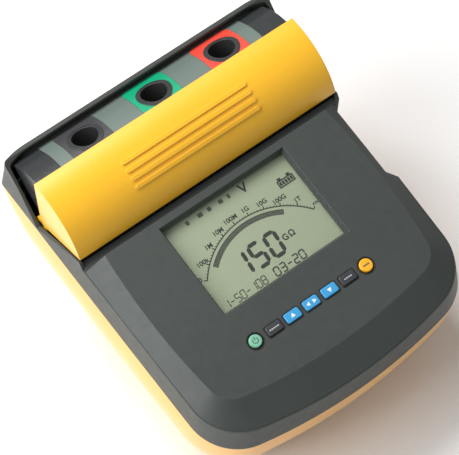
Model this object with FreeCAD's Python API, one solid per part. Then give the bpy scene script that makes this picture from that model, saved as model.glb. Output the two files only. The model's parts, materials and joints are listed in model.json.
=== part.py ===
import FreeCAD, Part
import math
import os

from FreeCAD import Vector

# Bench insulation resistance tester, in millimetres and degrees.
#
# Two frames are used. The bench frame is the part's own: +Z up, +Y to the rear, +X to the
# right, origin on the table under the middle of the instrument. The cover frame lies on the
# sloping cover: its origin is the middle of the display glass, its y runs up the slope to the
# rear and its z stands square to the cover. on_cover() takes a shape from the second to the first.

# Driving dimensions
SLOPE = 10.2
GLASS_HEIGHT = 124.0
GLASS_SETBACK = 9.8
GLASS_SIZE = (105.0, 73.0)
WALL = 3.0
FOOT_HEIGHT = 3.0

# Heights in the cover frame
PANEL_TOP = 5.5
PANEL_SKIN = 2.5
EDGE_Z = -3.7
SEAM_Z = -24.0
BELLY_Z = -50.0
PANEL_REAR = 44.0
RIM_TOP = 9.7
REAR_INSIDE = 138.1

# The rolling hood and the drum it turns about share one axis along x
AXIS_Y = 95.0
AXIS_Z = -21.0
HOOD_R = 50.0
HOOD_SKIN = 2.8
HOOD_HALF = 112.3
HOOD_END = 2.7
HOOD_FRONT = -61.0
HOOD_REAR = 15.0
HOOD_TRAVEL = 36.0
DRUM_R = 45.8
DRUM_SKIN = 3.6
DRUM_HALF = 109.2
DRUM_FRONT = -78.0
DRUM_FLAT = 45.0
DRUM_REAR = 61.0
PIN_R = 2.5
EYE_R = 6.3
RUNNING_FIT = 0.05

# Test terminals and mains inlet, at angles from the cover's normal, positive to the rear
TERMINAL_ANGLE = 33.0
TERMINAL_PITCH = 59.7
TERMINAL_BORE = 10.0
TERMINAL_R = 13.5
TERMINAL_FOOT = 19.0
TERMINAL_FLOOR = 24.0
SURROUND_SIDE = 34.0
SURROUND_TAIL = 4.2
PLATE_HALF = 88.0
PLATE_FRONT = -12.0
PLATE_REAR = 60.0
PLATE_DEPTH = 1.0
INLET_ANGLE = -40.0
INLET_FACE = 44.6

# Buttons in one row in front of the display
BUTTON_ROW = -65.4
BUTTON_PITCH = 16.18
BUTTON_TRAVEL = 1.2
BUTTON_TOP = 1.9
KEY_SIZE = (12.4, 7.5)
POWER_R = 4.75
TEST_R = 5.0
BOARD_Z = -14.0

os.makedirs("parts", exist_ok=True)


# ---------------------------------------------------------------- helpers

def on_cover(shape):
    """Takes a shape from the cover frame to the bench frame."""
    moved = shape.copy()
    moved.rotate(Vector(0, 0, 0), Vector(1, 0, 0), SLOPE)
    moved.translate(Vector(0, -GLASS_SETBACK, GLASS_HEIGHT))
    return moved


def bench_point(x, y, z):
    """The bench-frame place of a cover-frame point."""
    slope = math.radians(SLOPE)
    bench_y = y * math.cos(slope) - z * math.sin(slope) - GLASS_SETBACK
    bench_z = y * math.sin(slope) + z * math.cos(slope) + GLASS_HEIGHT
    return Vector(x, bench_y, bench_z)


def block(x0, x1, y0, y1, z0, z1):
    return Part.makeBox(x1 - x0, y1 - y0, z1 - z0, Vector(x0, y0, z0))


def soft_block(x0, x1, y0, y1, z0, z1, radius):
    """A block with its four upright edges rounded."""
    body = block(x0, x1, y0, y1, z0, z1)
    upright = [e for e in body.Edges if abs(e.tangentAt(e.FirstParameter).z) > 0.99]
    return body.makeFillet(radius, upright)


def rod(x, y, z, radius, length, axis=Vector(0, 0, 1)):
    return Part.makeCylinder(radius, length, Vector(x, y, z), axis)


def joined(shapes):
    """One solid from overlapping shapes, without the seams between coplanar faces."""
    return shapes[0].multiFuse(shapes[1:]).removeSplitter()


def radial(shape, angle):
    """Turns a shape built upright on the hood's axis to an angle from the cover's normal."""
    turned = shape.copy()
    turned.rotate(Vector(0, AXIS_Y, AXIS_Z), Vector(1, 0, 0), -angle)
    return turned


def axis_point(angle, radius):
    """y and z of a point at an angle and a radius from the hood's axis."""
    turn = math.radians(angle)
    return AXIS_Y + radius * math.sin(turn), AXIS_Z + radius * math.cos(turn)


def sector(half, inner, outer, start, stop):
    """A curved plate round the hood's axis, or a wedge where inner is 0."""
    middle = (start + stop) / 2
    places = [axis_point(a, outer) for a in (start, middle, stop)]
    points = [Vector(-half, y, z) for y, z in places]
    edges = [Part.Arc(*points).toShape()]
    if inner > 0:
        back = [Vector(-half, *axis_point(a, inner)) for a in (stop, middle, start)]
        edges.append(Part.makeLine(points[2], back[0]))
        edges.append(Part.Arc(*back).toShape())
        edges.append(Part.makeLine(back[2], points[0]))
    else:
        apex = Vector(-half, AXIS_Y, AXIS_Z)
        edges.append(Part.makeLine(points[2], apex))
        edges.append(Part.makeLine(apex, points[0]))
    return Part.Face(Part.Wire(edges)).extrude(Vector(2 * half, 0, 0))


def prism_x(profile, half):
    """A (y, z) outline carried from -half to half along x."""
    points = [Vector(-half, y, z) for y, z in profile]
    return Part.Face(Part.makePolygon(points + points[:1])).extrude(Vector(2 * half, 0, 0))


def both_sides(shape):
    """A shape and its mirror image across the middle of the instrument."""
    return [shape, shape.mirror(Vector(0, 0, 0), Vector(1, 0, 0))]


def export(name, shape):
    shape.exportStep(f"parts/{name}.step")


# ---------------------------------------------------------------- case outlines

# An outline is the front's y at the middle, then points down the right-hand side, where one
# arc ends and the next begins. Each arc leaves in the direction that the last one came in.
EDGE_OUTLINE = (-125.0, [(80, -116.3), (111.4, -77.8), (115.6, 136.2), (113.6, 139), (98, 141.6)])
SEAM_OUTLINE = (-129.3, [(82, -121.3), (114.1, -83), (117.2, 135.5), (114.8, 138.9), (96, 142.2)])
BELLY_OUTLINE = (-130.5, [(82, -123), (118.5, -80.5), (121, 95), (110, 122), (84, 137)])
FLOOR_OUTLINE = (-98.0, [(60, -93), (88, -61), (88, 85), (79.8, 104.8), (60, 113)])


def arc_middle(start, heading, end):
    """Middle of the arc that leaves start along heading and ends at end, and its last heading."""
    dx, dy = end[0] - start[0], end[1] - start[1]
    chord = math.atan2(dy, dx)
    rise = math.hypot(dx, dy) / 2 * math.tan((chord - heading) / 2)
    x = (start[0] + end[0]) / 2 + rise * math.sin(chord)
    y = (start[1] + end[1]) / 2 - rise * math.cos(chord)
    return (x, y), 2 * chord - heading


def right_side(shape, inset=0.0):
    """Front, then ends and middles of the arcs down the right, drawn in by inset."""
    front, ends = shape
    scale_x = 1 - inset / max(x for x, y in ends)
    scale_y = 1 - inset / abs(front)
    front *= scale_y
    ends = [(x * scale_x, y * scale_y) for x, y in ends]
    heading = 2 * math.atan2(ends[0][1] - front, ends[0][0])
    points = [(0, front), ends[0]]
    for start, end in zip(ends, ends[1:]):
        middle, heading = arc_middle(start, heading, end)
        points += [middle, end]
    return points


def closed_wire(points):
    """A wire from right_side() points in space: front arc, arcs up both sides, straight rear."""
    left = [Vector(-p.x, p.y, p.z) for p in points]
    edges = [Part.Arc(left[1], points[0], points[1]).toShape()]
    for i in range(1, len(points) - 2, 2):
        edges.append(Part.Arc(*points[i:i + 3]).toShape())
    edges.append(Part.makeLine(points[-1], left[-1]))
    for i in range(len(left) - 1, 2, -2):
        edges.append(Part.Arc(left[i], left[i - 1], left[i - 2]).toShape())
    return Part.Wire(edges)


def cover_wire(shape, z, inset=0.0):
    """An outline in the cover frame at height z."""
    return closed_wire([Vector(x, y, z) for x, y in right_side(shape, inset)])


def cover_slab(shape, low, high, inset=0.0):
    return Part.Face(cover_wire(shape, low, inset)).extrude(Vector(0, 0, high - low))


# ---------------------------------------------------------------- side scallop

# The hand hollow in the right-hand side runs down through cover, skirt and tub, and its floor
# slopes outwards.
SCALLOP = [(112.6, 47), (105, 39), (105, -17), (114.5, -26), (140, -26), (140, 47)]
SCALLOP_LINER = [(112.6, 50.5), (102.4, 40.2), (102.4, -18.2), (112, -29), (140, -29), (140, 50.5)]
SCALLOP_FLOOR = [(-50, 100), (-72, 125), (-72, 140), (20, 140), (20, 100)]


def scallop_prism(points, sunk):
    """An outline of the hollow carried down to its sloping floor, or sunk below it."""
    base = [Vector(x, y, -90) for x, y in points]
    prism = Part.Face(Part.makePolygon(base + base[:1])).extrude(Vector(0, 0, 110))
    floor = [Vector(x, -60, z - sunk if z < 0 else z) for z, x in SCALLOP_FLOOR]
    wedge = Part.Face(Part.makePolygon(floor + floor[:1])).extrude(Vector(0, 140, 0))
    return prism.common(wedge)


def with_scallop(shell, solid, frame=lambda shape: shape):
    """Cuts the hollow from a shell and closes it with a wall taken from the filled solid."""
    liner = frame(scallop_prism(SCALLOP_LINER, WALL)).common(solid)
    return joined([shell, liner]).cut(frame(scallop_prism(SCALLOP, 0.0)))


# ---------------------------------------------------------------- base

BELLY_SHARE = 0.3
FEET = [(-70, -80), (70, -80), (-68, 84), (68, 84)]
BOARD_POSTS = [(-70, -82), (70, -82), (-70, 0), (70, 0)]
BOARD_LEVEL = 30.0
SEAL_DEPTH = 1.2
CASE_SCREWS = [(98.5, -103), (101, 127.5)]
SCREW_BOSS_R = 7.5
SCREW_R = 1.9
SCREW_HEAD_R = 3.8
SCREW_SEAT = -38.0
SCREW_TIP = -12.0
BOSS_TOP = -8.0


def mix(first, second, share):
    """Points a share of the way from one list to another."""
    return [a * (1 - share) + b * share for a, b in zip(first, second)]


def base_hull(inset, lift):
    """The tub: a rounded belly under the seam, then straight walls drawn in to the floor."""
    seam = [bench_point(x, y, SEAM_Z) for x, y in right_side(SEAM_OUTLINE, inset)]
    belly = [bench_point(x, y, BELLY_Z) for x, y in right_side(BELLY_OUTLINE, inset)]
    floor_z = FOOT_HEIGHT + lift
    floor = [Vector(x, y - GLASS_SETBACK, floor_z) for x, y in right_side(FLOOR_OUTLINE, inset)]
    wall = mix(belly, floor, BELLY_SHARE)
    sections = [mix(mix(seam, belly, t / 3), mix(belly, wall, t / 3), t / 3) for t in range(4)]
    sections += [mix(wall, floor, t / 3) for t in (1, 2, 3)]
    return Part.makeLoft([closed_wire(points) for points in sections], True, False)


def base_shell():
    """The tub with board posts, screw bosses, the feet's sockets and the seal's groove."""
    outer = base_hull(0.0, 0.0)
    shell = with_scallop(outer.cut(base_hull(WALL, WALL)), outer, on_cover)
    floor_z = FOOT_HEIGHT + WALL - 0.5
    posts = [rod(x, y, floor_z, 4.0, BOARD_LEVEL - floor_z) for x, y in BOARD_POSTS]
    bosses = [on_cover(boss).common(outer) for boss in screw_columns(SCREW_BOSS_R, -110, SEAM_Z)]
    shell = joined([shell] + posts + bosses)
    holes = [rod(x, y, FOOT_HEIGHT + 8, 1.2, BOARD_LEVEL) for x, y in BOARD_POSTS]
    holes += [rod(x, y, 0, 3.2, FOOT_HEIGHT + 2.0) for x, y in FEET]
    holes += [on_cover(hole) for hole in screw_columns(SCREW_R + 0.3, -60, SEAM_Z + 1)]
    holes += [on_cover(hole) for hole in screw_columns(SCREW_HEAD_R + 0.4, -130, SCREW_SEAT)]
    for hole in holes + [on_cover(case_seal_ring())]:
        shell = shell.cut(hole)
    return shell


def screw_columns(radius, low, high):
    """Four rods square to the cover, one on the line of each case screw."""
    return [rod(side * x, y, low, radius, high - low) for x, y in CASE_SCREWS for side in (-1, 1)]


def case_screws():
    """Four long screws that pull tub and upper case together from below."""
    shanks = screw_columns(SCREW_R, SCREW_SEAT, SCREW_TIP)
    heads = screw_columns(SCREW_HEAD_R, SCREW_SEAT - 2.4, SCREW_SEAT)
    return Part.makeCompound([joined([shank, head]) for shank, head in zip(shanks, heads)])


def rubber_feet():
    """Four round feet, each with a spigot pushed into the floor."""
    feet = []
    for x, y in FEET:
        pad = Part.makeCone(8.0, 9.5, FOOT_HEIGHT, Vector(x, y, 0))
        feet.append(pad.fuse(rod(x, y, FOOT_HEIGHT, 3.2, 1.9)))
    return Part.makeCompound(feet)


def case_seal_ring():
    """The seal's groove, in the middle of the tub's rim."""
    low, high = SEAM_Z - SEAL_DEPTH, SEAM_Z + 0.01
    ring = cover_slab(SEAM_OUTLINE, low, high, 1.0).cut(cover_slab(SEAM_OUTLINE, low - 1, high + 1, 2.1))
    return ring.cut(block(99.5, 130, -32, 53, -40, 0))


def case_seal():
    """The soft cord that lies in the groove between tub and skirt."""
    return case_seal_ring().common(block(-130, 130, -140, 150, -40, SEAM_Z))


# ---------------------------------------------------------------- upper case

# The top edge of the skirt, from front to rear: level under the cover, up to the hood's front
# corner, down to the hinge and up again to the rear rim.
SKIRT_TOP = [(-150, EDGE_Z), (46, EDGE_Z), (50.8, 2.0), (94.8, -22.3), (138.8, RIM_TOP),
             (150, RIM_TOP), (150, 30), (-150, 30)]


def upper_solid():
    """The skirt as a filled block, with the V in each cheek and the rear rim."""
    wires = [cover_wire(SEAM_OUTLINE, SEAM_Z), cover_wire(EDGE_OUTLINE, EDGE_Z)]
    skirt = Part.makeLoft(wires, True, True)
    top = cover_slab(EDGE_OUTLINE, EDGE_Z, RIM_TOP)
    return skirt.fuse(top).cut(prism_x(SKIRT_TOP, 130))


def upper_hollow():
    wires = [
        cover_wire(SEAM_OUTLINE, SEAM_Z - 1, WALL),
        cover_wire(EDGE_OUTLINE, RIM_TOP + 1, WALL),
    ]
    return Part.makeLoft(wires, True, True)


def cover_ledge():
    """The shelf round the inside of the skirt that the cover is glued down on."""
    ring = cover_slab(EDGE_OUTLINE, EDGE_Z - 4.0, EDGE_Z - 1.5, 0.5)
    behind = block(-130, 130, PANEL_REAR - 1, 160, -20, 10)
    return ring.cut(block(-100, 100, -110, 150, -20, 10)).cut(behind)


def hood_room():
    """The slice of space that the hood's end plates sweep, cut from the inside of the cheeks."""
    half = HOOD_HALF + 0.6
    sweep = sector(half, 0, HOOD_R + 1.5, HOOD_FRONT - 3, HOOD_REAR + HOOD_TRAVEL + 3)
    eye = Part.makeCylinder(EYE_R + 0.7, 2 * half, Vector(-half, AXIS_Y, AXIS_Z), Vector(1, 0, 0))
    return joined([sweep, eye])


def upper_case():
    """The skirt's wall with its ledge, and four screw bosses that webs tie to the side walls."""
    solid = upper_solid()
    bosses = screw_columns(SCREW_BOSS_R, SEAM_Z, BOSS_TOP)
    for x, y in CASE_SCREWS:
        bosses += both_sides(block(x, x + 20, y - 1.2, y + 1.2, SEAM_Z, BOSS_TOP))
    bosses = [boss.common(solid) for boss in bosses]
    shell = joined([solid.cut(upper_hollow()), cover_ledge()] + bosses).cut(hood_room())
    for hole in screw_columns(SCREW_R, SEAM_Z - 1, SCREW_TIP):
        shell = shell.cut(hole)
    return with_scallop(shell, solid)


# ---------------------------------------------------------------- cover and display

PANEL_FLAT = (-99.9, [(80, -92.2), (95.2, -76), (96.9, PANEL_REAR)])
PANEL_FOOT = (-124.3, [(79.4, -115.6), (110.7, -77.6), (112.9, PANEL_REAR)])
BEVEL = 2.0
WINDOW_SIZE = (113.0, 81.0)


def rectangle(size, z):
    half_x, half_y = size[0] / 2, size[1] / 2
    corners = [(-half_x, -half_y), (half_x, -half_y), (half_x, half_y), (-half_x, half_y)]
    points = [Vector(x, y, z) for x, y in corners]
    return Part.makePolygon(points + points[:1])


def display_opening():
    wide = (GLASS_SIZE[0] + 2 * BEVEL, GLASS_SIZE[1] + 2 * BEVEL)
    wires = [rectangle(GLASS_SIZE, 0.0), rectangle(GLASS_SIZE, 0.8), rectangle(wide, PANEL_TOP)]
    straight = Part.makeLoft(wires[:2], True, True)
    sloped = Part.makeLoft(wires[1:], True, True)
    above = Part.Face(rectangle(wide, PANEL_TOP)).extrude(Vector(0, 0, 2))
    return joined([straight, sloped, above])


def button_places():
    return [(i - 3) * BUTTON_PITCH for i in range(7)]


def bezel_outline(index, grow, z, height):
    """The rim round one button: round at both ends of the row, oblong between."""
    x = button_places()[index]
    if index in (0, 6):
        return rod(x, BUTTON_ROW, z, 6.6 + grow, height)
    half_x = KEY_SIZE[0] / 2 + 0.9 + grow
    half_y = KEY_SIZE[1] / 2 + 1.0 + grow
    return soft_block(x - half_x, x + half_x, BUTTON_ROW - half_y, BUTTON_ROW + half_y,
                      z, z + height, 1.6)


def panel_solid(inset, drop):
    """The cover as a filled block with sloping facets, drawn in and lowered for its inside."""
    wires = [cover_wire(PANEL_FOOT, EDGE_Z, inset), cover_wire(PANEL_FLAT, PANEL_TOP - drop, inset)]
    return Part.makeLoft(wires, True, True)


def front_panel():
    """The cover's shell with a wall at its rear, a strip under the hood and a display collar."""
    solid = panel_solid(0.0, 0.0)
    shell = solid.cut(panel_solid(PANEL_SKIN, PANEL_SKIN))
    rear_wall = block(-115, 115, PANEL_REAR - PANEL_SKIN, PANEL_REAR, EDGE_Z, PANEL_TOP).common(solid)
    valley = block(-111.5, 111.5, PANEL_REAR - 0.5, 51.0, EDGE_Z - 1.4, EDGE_Z + 0.7)
    valley = valley.cut(scallop_prism(SCALLOP_LINER, WALL))
    collar = block(-WINDOW_SIZE[0] / 2 - 4, WINDOW_SIZE[0] / 2 + 4, -WINDOW_SIZE[1] / 2 - 3,
                   WINDOW_SIZE[1] / 2, 0.0, PANEL_TOP - 1)
    panel = joined([shell, rear_wall, valley, collar]).cut(display_opening())
    for index in range(7):
        panel = panel.cut(bezel_outline(index, 0.0, PANEL_TOP - 5, 10))
    return with_scallop(panel, solid)


def button_bezels():
    """Seven rims pressed into the cover, standing a little proud of it."""
    rims = []
    for index in range(7):
        x = button_places()[index]
        rim = bezel_outline(index, 0.0, PANEL_TOP - PANEL_SKIN, PANEL_SKIN + 0.3)
        if index in (0, 6):
            radius = POWER_R if index == 0 else TEST_R
            hole = rod(x, BUTTON_ROW, 0, radius + 0.3, 12)
            dish = Part.makeCone(radius + 0.3, 6.2, 1.6, Vector(x, BUTTON_ROW, PANEL_TOP - 1.2))
            rims.append(rim.cut(hole).cut(dish))
        else:
            hole = soft_block(x - KEY_SIZE[0] / 2 - 0.25, x + KEY_SIZE[0] / 2 + 0.25,
                              BUTTON_ROW - KEY_SIZE[1] / 2 - 0.25, BUTTON_ROW + KEY_SIZE[1] / 2 + 0.25,
                              0, 12, 1.2)
            rims.append(rim.cut(hole))
    return Part.makeCompound(rims)


def lcd_window():
    """The clear pane over the display."""
    half_x, half_y = WINDOW_SIZE[0] / 2, WINDOW_SIZE[1] / 2
    return soft_block(-half_x, half_x, -half_y, half_y, -2.0, 0.0, 2.0)


def lcd_cell():
    """The liquid crystal cell, under the pane."""
    return block(-55, 55, -38.5, 38.5, -5.6, -3.05)


def lcd_frame():
    """The bent metal frame that clamps the glass and its light to the board."""
    frame = block(-57.5, 57.5, -41, 41, -10.4, -2.1)
    frame = frame.cut(block(-56.5, 56.5, -40, 40, -11, -3.0))
    return frame.cut(block(-53.5, 53.5, -37.5, 37.5, -4, 0))


def backlight():
    """The clear block behind the cell that spreads its light."""
    return block(-55, 55, -38.5, 38.5, -10.0, -5.7)


# ---------------------------------------------------------------- buttons

BUTTON_NAMES = ["power_button", "function_button", "up_button", "left_right_button",
                "down_button", "store_button", "test_button"]
KEYPAD_TOP = -7.5
STEM_R = 2.0
DISPLAY_SCREWS = [(-83, -76), (83, -76), (-83, 36), (83, 36)]


def button(index):
    """A cap with a stem that presses on the rubber keypad."""
    x = button_places()[index]
    top = PANEL_TOP + BUTTON_TOP
    low = PANEL_TOP - 4.0
    if index in (0, 6):
        radius = POWER_R if index == 0 else TEST_R
        cap = rod(x, BUTTON_ROW, low, radius, top - low - 0.5)
        cap = cap.makeFillet(0.8, [e for e in cap.Edges if e.CenterOfMass.z > top - 0.6])
    else:
        half_x, half_y = KEY_SIZE[0] / 2, KEY_SIZE[1] / 2
        cap = soft_block(x - half_x, x + half_x, BUTTON_ROW - half_y, BUTTON_ROW + half_y,
                         low, top - 0.4, 1.4)
        cap = cap.makeFillet(0.7, [e for e in cap.Edges if e.CenterOfMass.z > top - 0.5])
    stem = rod(x, BUTTON_ROW, KEYPAD_TOP + BUTTON_TRAVEL + 0.3, STEM_R, low - KEYPAD_TOP)
    return cap.fuse(stem)


def rubber_keypad():
    """One rubber mat with a dome under each button."""
    mat = block(-58, 58, BUTTON_ROW - 9, BUTTON_ROW + 9, BOARD_Z, BOARD_Z + 1.5)
    domes = [Part.makeCone(4.5, 3.0, KEYPAD_TOP - BOARD_Z - 1.5, Vector(x, BUTTON_ROW, BOARD_Z + 1.5))
             for x in button_places()]
    return joined([mat] + domes)


def display_board():
    """The board under the display and keypad, with three chips on its back."""
    board = block(-88, 88, -82, 41, BOARD_Z - 1.6, BOARD_Z)
    for x, y in DISPLAY_SCREWS:
        board = board.cut(rod(x, y, BOARD_Z - 3, 1.6, 6))
    chips = [block(x - 8, x + 8, -55, -44, BOARD_Z - 4.0, BOARD_Z - 1.6) for x in (-50, 0, 50)]
    return joined([board] + chips)


def screw(x, y, z, length, radius, head_r, down=True):
    """A pan-head screw under a board or floor, pointing along +z or -z."""
    way = -1 if down else 1
    axis = Vector(0, 0, way)
    shank = Part.makeCylinder(radius, length, Vector(x, y, z), axis)
    head = Part.makeCylinder(head_r, 1.8, Vector(x, y, z), Vector(0, 0, -way))
    return shank.fuse(head)


def display_screws():
    return Part.makeCompound([screw(x, y, BOARD_Z - 1.6, 12.0, 1.5, 2.8, down=False)
                              for x, y in DISPLAY_SCREWS])


# ---------------------------------------------------------------- hood

RIB_HALF = 54.0
RIB_ANGLES = [-10.6, -18.0, -25.3, -32.7]


def hood():
    """A slice of a cylinder: curved roof, two end plates and four raised grip ribs."""
    inner_r = HOOD_R - HOOD_SKIN
    solid = sector(HOOD_HALF, 0, HOOD_R, HOOD_FRONT, HOOD_REAR)
    room = sector(HOOD_HALF - HOOD_END, 0, inner_r, HOOD_FRONT - 20, HOOD_REAR + 20)
    shell = solid.cut(room)
    ribs = []
    for angle in RIB_ANGLES:
        rib = soft_block(-RIB_HALF, RIB_HALF, AXIS_Y - 1.5, AXIS_Y + 1.5,
                         AXIS_Z + HOOD_R - 1, AXIS_Z + HOOD_R + 1.0, 1.4)
        ribs.append(radial(rib, angle))
    x0 = HOOD_HALF - HOOD_END
    eye = Part.makeCylinder(EYE_R, HOOD_END, Vector(x0, AXIS_Y, AXIS_Z), Vector(1, 0, 0))
    shell = joined([shell] + ribs + both_sides(eye))
    bore = Part.makeCylinder(PIN_R + RUNNING_FIT, 2 * HOOD_HALF + 2, Vector(-HOOD_HALF - 1, AXIS_Y, AXIS_Z),
                             Vector(1, 0, 0))
    return shell.cut(bore)


def hood_pins():
    """Two steel pins, pressed into the drum's ends, that the hood turns on."""
    start = DRUM_HALF - 8.0
    pin = Part.makeCylinder(PIN_R, HOOD_HALF - start, Vector(start, AXIS_Y, AXIS_Z), Vector(1, 0, 0))
    return Part.makeCompound(both_sides(pin))


def hood_washers():
    """Two sprung washers between drum and hood that give the hood its drag."""
    start = DRUM_HALF + 0.05
    ring = Part.makeCylinder(5.8, 0.3, Vector(start, AXIS_Y, AXIS_Z), Vector(1, 0, 0))
    eye = Part.makeCylinder(PIN_R + 0.1, 1.0, Vector(start - 0.1, AXIS_Y, AXIS_Z), Vector(1, 0, 0))
    return Part.makeCompound(both_sides(ring.cut(eye)))


# ---------------------------------------------------------------- drum and terminals

def terminal_places():
    return [-TERMINAL_PITCH, 0.0, TERMINAL_PITCH]


def upright_rod(x, radius, low, high):
    """A rod along the hood's radius, between two distances from the axis."""
    return rod(x, AXIS_Y, AXIS_Z + low, radius, high - low)


def flat_point(angle, grow):
    """Where a line at that angle from the axis meets the drum's flat, moved out by grow."""
    radius = (DRUM_R + grow) / math.cos(math.radians(angle - DRUM_FLAT))
    return axis_point(angle, radius)


def drum_block(half, grow, start, stop):
    """The drum filled to its axis and grown outwards: round to DRUM_FLAT, then flat."""
    wedge = prism_x([(AXIS_Y, AXIS_Z), flat_point(DRUM_FLAT, grow), flat_point(stop, grow)], half)
    return sector(half, 0, DRUM_R + grow, start, DRUM_FLAT).fuse(wedge).removeSplitter()


def drum_skin(half, inner, outer, start, stop):
    """A layer that follows the drum's round and flat, between two distances from its face."""
    return drum_block(half, outer, start, stop).cut(drum_block(half + 1, inner, start - 5, stop + 5))


def terminal_drum():
    """The curved terminal housing: roof, end plates, hinge bosses and a lip to the rear wall."""
    roof = drum_block(DRUM_HALF, 0.0, DRUM_FRONT, DRUM_REAR)
    roof = roof.cut(drum_block(DRUM_HALF - 4, -DRUM_SKIN, DRUM_FRONT - 15, DRUM_REAR + 15))
    boss = Part.makeCylinder(EYE_R, 8.0, Vector(DRUM_HALF - 8, AXIS_Y, AXIS_Z), Vector(1, 0, 0))
    lip_y, lip_z = flat_point(DRUM_REAR, 0.0)
    corner = [(DRUM_HALF, lip_y - 2.5), (DRUM_HALF, 135.0), (104, 136.3), (95, REAR_INSIDE)]
    edge = [Vector(x, y, lip_z - 2) for x, y in corner]
    edge += [Vector(-point.x, point.y, point.z) for point in edge[::-1]]
    lip = Part.Face(Part.makePolygon(edge + edge[:1])).extrude(Vector(0, 0, 2))
    body = joined([roof, lip] + both_sides(boss))
    recess = drum_skin(PLATE_HALF, -PLATE_DEPTH, 2.0, PLATE_FRONT, PLATE_REAR)
    body = body.cut(recess)
    for x in terminal_places():
        body = body.cut(radial(upright_rod(x, TERMINAL_R + 0.1, 20, 60), TERMINAL_ANGLE))
    body = body.cut(radial(inlet_block(14.3, 10.3, 20, 60), INLET_ANGLE))
    pin_hole = Part.makeCylinder(PIN_R, 2 * DRUM_HALF + 2, Vector(-DRUM_HALF - 1, AXIS_Y, AXIS_Z),
                                 Vector(1, 0, 0))
    return body.cut(pin_hole)


def surround_prism(x, side):
    """The outline of one surround, square to the drum and longer behind the terminal than before it."""
    half = side / 2
    return radial(soft_block(x - half, x + half, AXIS_Y - half, AXIS_Y + half + SURROUND_TAIL, AXIS_Z + 10,
                             AXIS_Z + 60, 5.0), TERMINAL_ANGLE)


def terminal_plate():
    """The matt plate let into the drum, open where the coloured surrounds sit."""
    plate = drum_skin(PLATE_HALF - 0.2, -PLATE_DEPTH, 0.0, PLATE_FRONT + 0.3, PLATE_REAR - 0.3)
    for x in terminal_places():
        plate = plate.cut(surround_prism(x, SURROUND_SIDE))
    return plate


def surround(x):
    """A coloured frame round one terminal, curved like the drum."""
    shell = drum_skin(PLATE_HALF, -PLATE_DEPTH, 0.4, -5, PLATE_REAR - 0.3)
    frame = shell.common(surround_prism(x, SURROUND_SIDE - 0.2))
    return frame.cut(radial(upright_rod(x, TERMINAL_R, 20, 60), TERMINAL_ANGLE))


def terminal(x):
    """A deep insulated socket: a wide bore, with a small jack hole through its floor."""
    tube = upright_rod(x, TERMINAL_R, TERMINAL_FOOT, 55)
    flange = upright_rod(x, TERMINAL_R + 3.0, 35.0, 38.0)
    body = joined([tube, flange])
    body = body.cut(upright_rod(x, TERMINAL_BORE, TERMINAL_FLOOR, 60))
    body = body.cut(upright_rod(x, 3.5, TERMINAL_FOOT - 1, TERMINAL_FLOOR + 1))
    body = radial(body, TERMINAL_ANGLE)
    return body.common(drum_block(DRUM_HALF, 0.7, -40, DRUM_REAR))


def terminal_contacts():
    """Brass jacks pressed in the floor of each terminal."""
    jacks = []
    for x in terminal_places():
        jack = upright_rod(x, 3.5, TERMINAL_FOOT - 8, TERMINAL_FLOOR)
        jack = jack.cut(upright_rod(x, 2.05, TERMINAL_FOOT - 6, TERMINAL_FLOOR + 1))
        jacks.append(radial(jack, TERMINAL_ANGLE))
    return Part.makeCompound(jacks)


# ---------------------------------------------------------------- mains inlet

def inlet_block(half_x, half_y, low, high):
    return block(-half_x, half_x, AXIS_Y - half_y, AXIS_Y + half_y, AXIS_Z + low, AXIS_Z + high)


def mains_inlet():
    """An appliance inlet: an oblong cup whose plug comes in square to the drum."""
    body = joined([inlet_block(14.0, 10.0, 25.0, INLET_FACE), inlet_block(19.0, 12.0, 35.5, 38.0)])
    body = body.cut(inlet_block(12.2, 8.2, 28.0, 60))
    return radial(body, INLET_ANGLE).cut(inlet_pins())


def inlet_pins():
    """Line, neutral and the dummy middle pin, through the cup's floor."""
    pins = []
    for x, y in ((-7.0, -2.0), (0.0, 2.0), (7.0, -2.0)):
        pin = block(x - 1, x + 1, AXIS_Y + y - 2, AXIS_Y + y + 2, AXIS_Z + 18, AXIS_Z + 39)
        pins.append(radial(pin, INLET_ANGLE))
    return Part.makeCompound(pins)


# ---------------------------------------------------------------- inside

BATTERY = (-22, 77, 6, 85, FOOT_HEIGHT + WALL, 64)


def battery():
    """The sealed battery, with a blade terminal at each end of its top."""
    x0, x1, y0, y1, z0, z1 = BATTERY
    case = soft_block(x0, x1, y0, y1, z0, z1, 2.5)
    tabs = [block(x - 0.4, x + 0.4, y1 - 16, y1 - 10, z1 - 1, z1 + 7) for x in (x0 + 12, x1 - 12)]
    return joined([case] + tabs)


def battery_strap():
    """A steel strap over the battery, with a foot at each end."""
    x0, x1, y0, y1, z0, z1 = BATTERY
    outer = block(x0 + 30, x0 + 50, y0 - 2.0, y1 + 2.0, z0, z1 + 1.8)
    outer = outer.cut(block(x0 - 1, x1 + 1, y0 - 0.2, y1 + 0.2, z0 - 1, z1 + 0.2))
    feet = [block(x0 + 30, x0 + 50, y0 - 13, y0 - 0.5, z0, z0 + 1.5),
            block(x0 + 30, x0 + 50, y1 + 0.5, y1 + 13, z0, z0 + 1.5)]
    return joined([outer] + feet)


def transformer():
    """The charger's transformer: a stack of plates with a bobbin through it."""
    stack = block(-78, -34, 34, 50, FOOT_HEIGHT + WALL, 44)
    bobbin = soft_block(-70, -42, 24, 60, 12, 38, 4)
    return joined([stack, bobbin])


def main_board():
    """The power board on its four posts, with two blocks and two capacitors."""
    board = block(-78, 78, -92, 3, BOARD_LEVEL, BOARD_LEVEL + 1.6)
    for x, y in BOARD_POSTS:
        board = board.cut(rod(x, y, BOARD_LEVEL - 1, 1.6, 4))
    top = BOARD_LEVEL + 1.6
    parts = [block(40, 66, -50, -24, top, top + 5), block(36, 50, -84, -70, top, top + 4),
             rod(58, -6, top, 5, 14), rod(44, -6, top, 5, 14)]
    return joined([board] + parts)


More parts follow.
